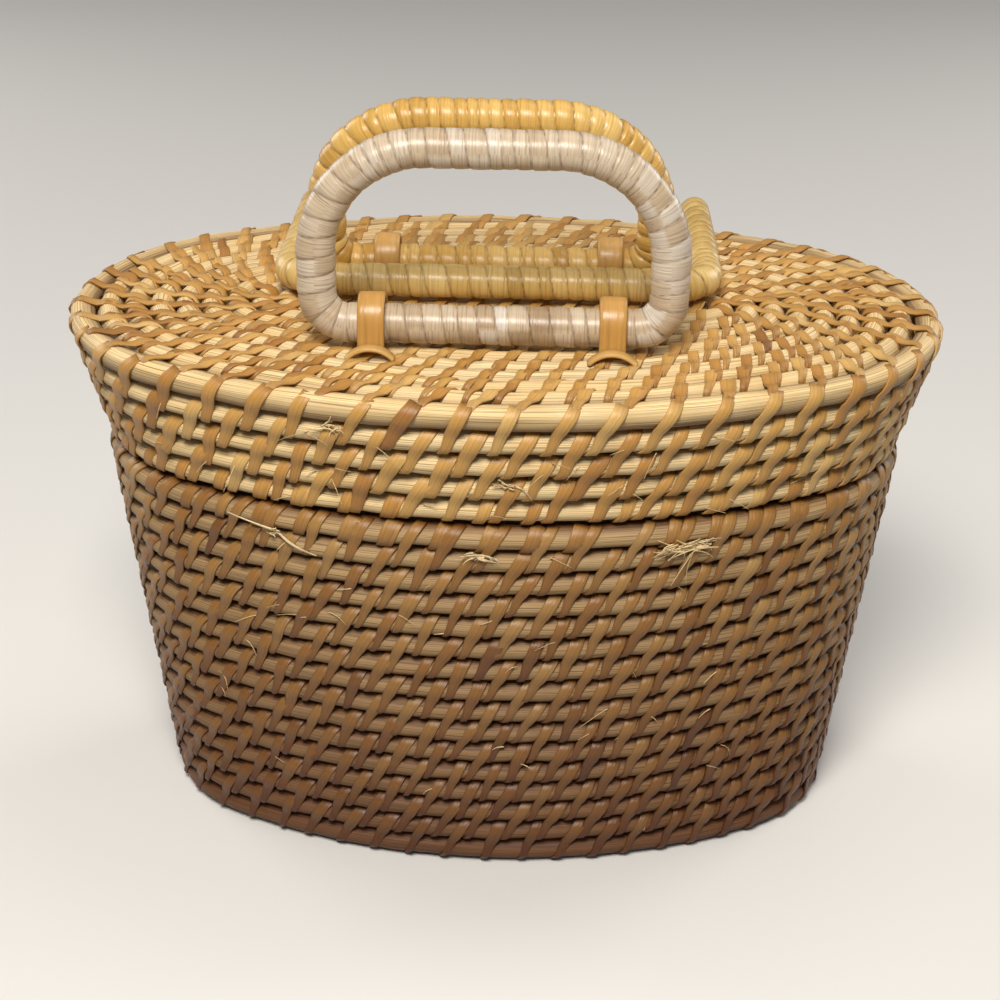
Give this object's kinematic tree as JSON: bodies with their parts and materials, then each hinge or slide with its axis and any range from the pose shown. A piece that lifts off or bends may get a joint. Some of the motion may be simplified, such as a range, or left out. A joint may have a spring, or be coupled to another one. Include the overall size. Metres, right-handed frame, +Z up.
{
  "type": "lidded coiled rattan basket",
  "caption": "Oval coiled rattan basket with a flush hinged lid, two wrapped ring handles and a wrapped bail over the back edge.",
  "frame": {"origin": "on the floor under the middle of the basket", "axes": "+X along the basket's length, +Y to its back, +Z up"},
  "size_m": [0.3431, 0.2338, 0.2927],
  "materials": {
    "cane_coil": "satin",
    "stitch_peel": "satin",
    "white_peel": "satin",
    "gold_peel": "satin",
    "olive_peel": "satin",
    "strap_peel": "satin",
    "cane_core": "matte"
  },
  "bodies": {
    "base": {"basket_body": "cane_coil", "body_stitches": "stitch_peel", "locating_collar": "cane_coil", "bail_strap_left": "strap_peel", "bail_strap_right": "strap_peel"},
    "lid": {"lid": "cane_coil", "lid_stitches": "stitch_peel", "bail_core": "cane_core", "bail_wrap": "olive_peel", "front_strap_left": "strap_peel", "front_strap_right": "strap_peel", "rear_strap_left": "strap_peel", "rear_strap_right": "strap_peel", "front_staple_left": "strap_peel", "front_staple_right": "strap_peel", "rear_staple_left": "strap_peel", "rear_staple_right": "strap_peel"},
    "front_handle": {"front_handle_core": "cane_core", "front_handle_wrap": "white_peel"},
    "rear_handle": {"rear_handle_core": "cane_core", "rear_handle_wrap": "gold_peel"}
  },
  "joints": [
    {"name": "lid_hinge", "type": "hinge", "parent": "base", "child": "lid", "pos_m": [0, 0.10965, 0.1422], "axis": [-1, 0, 0], "range_deg": [0, 100]},
    {"name": "front_handle_fold", "type": "hinge", "parent": "lid", "child": "front_handle", "pos_m": [0, -0.056, 0.21915], "axis": [1, 0, 0], "range_deg": [-24, 88]},
    {"name": "rear_handle_fold", "type": "hinge", "parent": "lid", "child": "rear_handle", "pos_m": [0, 0.015, 0.21915], "axis": [1, 0, 0], "range_deg": [-103.5, 9.5]}
  ]
}
